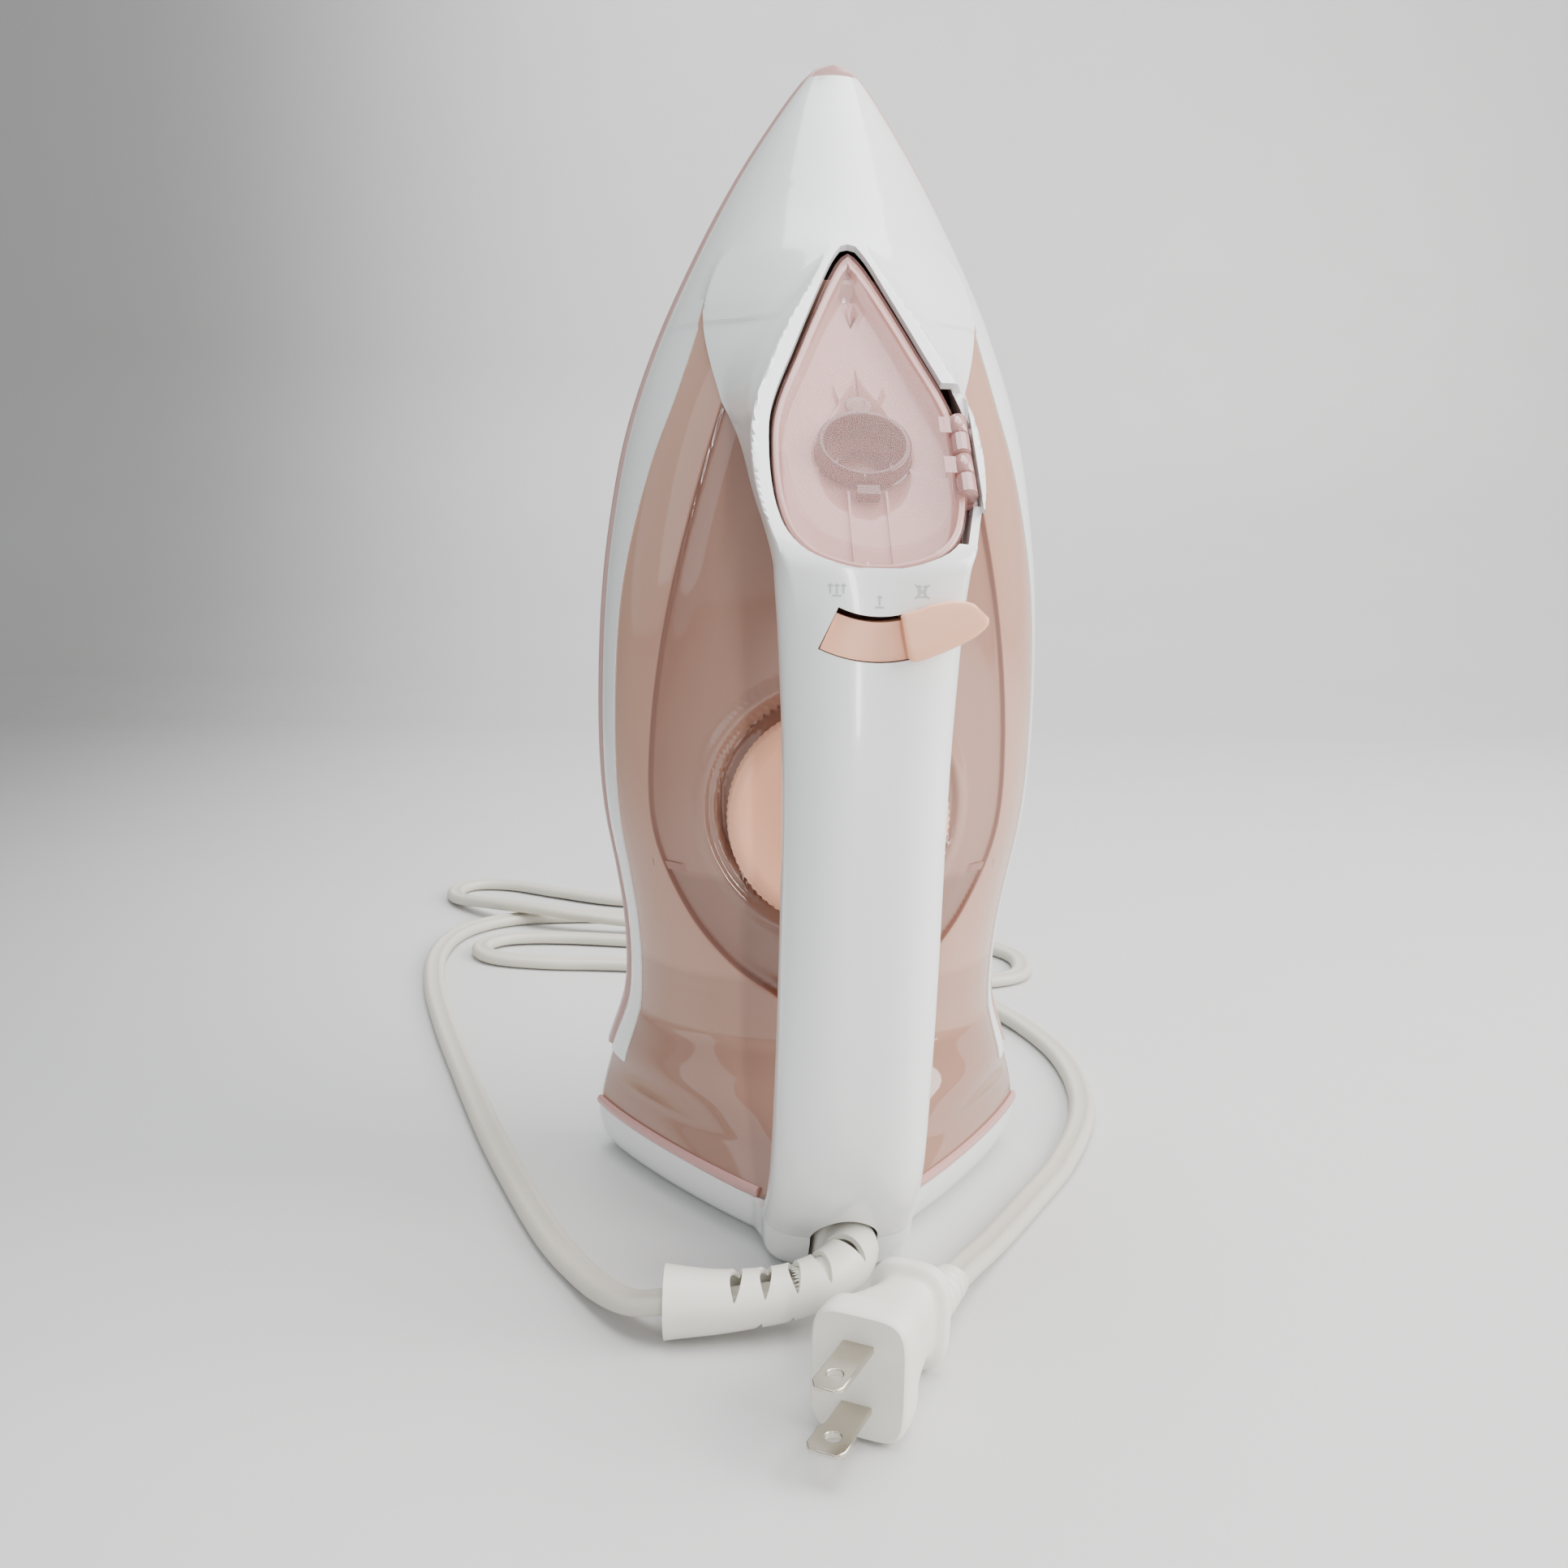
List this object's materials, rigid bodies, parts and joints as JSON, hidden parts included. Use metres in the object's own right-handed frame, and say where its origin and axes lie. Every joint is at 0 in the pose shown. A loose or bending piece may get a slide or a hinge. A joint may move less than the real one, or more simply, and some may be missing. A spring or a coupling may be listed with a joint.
{
  "type": "steam iron",
  "caption": "Household steam iron standing on its heel, with water tank, hinged filler lid, steam lever, dial and mains cord.",
  "frame": {"origin": "centre of the iron's outline at the floor, under the heel it stands on; the cord and plug are left out", "axes": "+Z from the heel to the tip, +Y out of the soleplate, +X to the right seen from the handle side"},
  "size_m": [0.2429, 0.4668, 0.289],
  "materials": {
    "white_plastic": "glossy moulded",
    "rose_clear_plastic": "clear tinted, polished",
    "pink_clear_plastic": "clear tinted, polished",
    "mauve_plastic": "satin moulded",
    "peach_plastic": "satin moulded",
    "ivory_rubber": "matt moulded",
    "cream_cord": "matt moulded",
    "cast_aluminium": "polished face",
    "zinc_steel": "plated",
    "nickel_brass": "nickel plated",
    "phenolic": "moulded",
    "red_sleeve": "silicone"
  },
  "bodies": {
    "housing": {"upper_housing": "white_plastic", "handle_cover": "white_plastic", "heel_cover": "white_plastic", "lever_bridge": "white_plastic", "water_tank": "rose_clear_plastic", "tank_base": "rose_clear_plastic", "spindle_tube": "rose_clear_plastic", "handle_underside": "rose_clear_plastic", "filler_tray": "pink_clear_plastic", "lid_hinge_bracket": "pink_clear_plastic", "sole_skirt": "mauve_plastic", "filler_mouth": "mauve_plastic", "lever_track": "peach_plastic", "cord_gland": "ivory_rubber", "cord_guard": "ivory_rubber", "plug_body": "ivory_rubber", "power_cord": "cream_cord", "supply_lead_left": "cream_cord", "supply_lead_right": "cream_cord", "soleplate": "cast_aluminium", "heating_element": "zinc_steel", "element_terminal_left": "zinc_steel", "element_terminal_right": "zinc_steel", "steam_chamber_cover": "zinc_steel", "thermal_fuse": "zinc_steel", "thermostat": "zinc_steel", "sole_screw_1": "zinc_steel", "sole_screw_2": "zinc_steel", "sole_screw_3": "zinc_steel", "heel_screw_1": "zinc_steel", "heel_screw_2": "zinc_steel", "clamp_screw_left": "zinc_steel", "clamp_screw_right": "zinc_steel", "lid_hinge_pin": "zinc_steel", "valve_spring": "zinc_steel", "blade_upper": "nickel_brass", "blade_lower": "nickel_brass", "heat_shield": "phenolic", "terminal_block": "phenolic", "cord_clamp": "phenolic", "element_lead_left": "red_sleeve", "element_lead_right": "red_sleeve", "valve_seat": "red_sleeve"},
    "lid": {"filler_lid": "pink_clear_plastic"},
    "lever": {"steam_lever": "peach_plastic"},
    "stem": {"valve_stem": "zinc_steel"},
    "dial": {"temperature_dial": "peach_plastic", "dial_spindle": "cast_aluminium"}
  },
  "joints": [
    {"name": "lid_hinge", "type": "hinge", "parent": "housing", "child": "lid", "pos_m": [0.02, -0.0367, 0.1889], "axis": [0, 0.7071, 0.7071], "range_deg": [0, 105]},
    {"name": "lever_turn", "type": "hinge", "parent": "housing", "child": "lever", "pos_m": [0, -0.034, 0.1765], "axis": [0, 1, 0], "range_deg": [0, 36]},
    {"name": "valve_lift", "type": "slide", "parent": "housing", "child": "stem", "axis": [0, -1, 0], "range_m": [0, 0.003]},
    {"name": "dial_turn", "type": "hinge", "parent": "housing", "child": "dial", "pos_m": [0, 0, 0.105], "axis": [0, -1, 0], "range_deg": [0, 270]}
  ],
  "couplings": [
    {"joint": "valve_lift", "follows": "lever_turn", "m_per_rad": 0.00477}
  ]
}
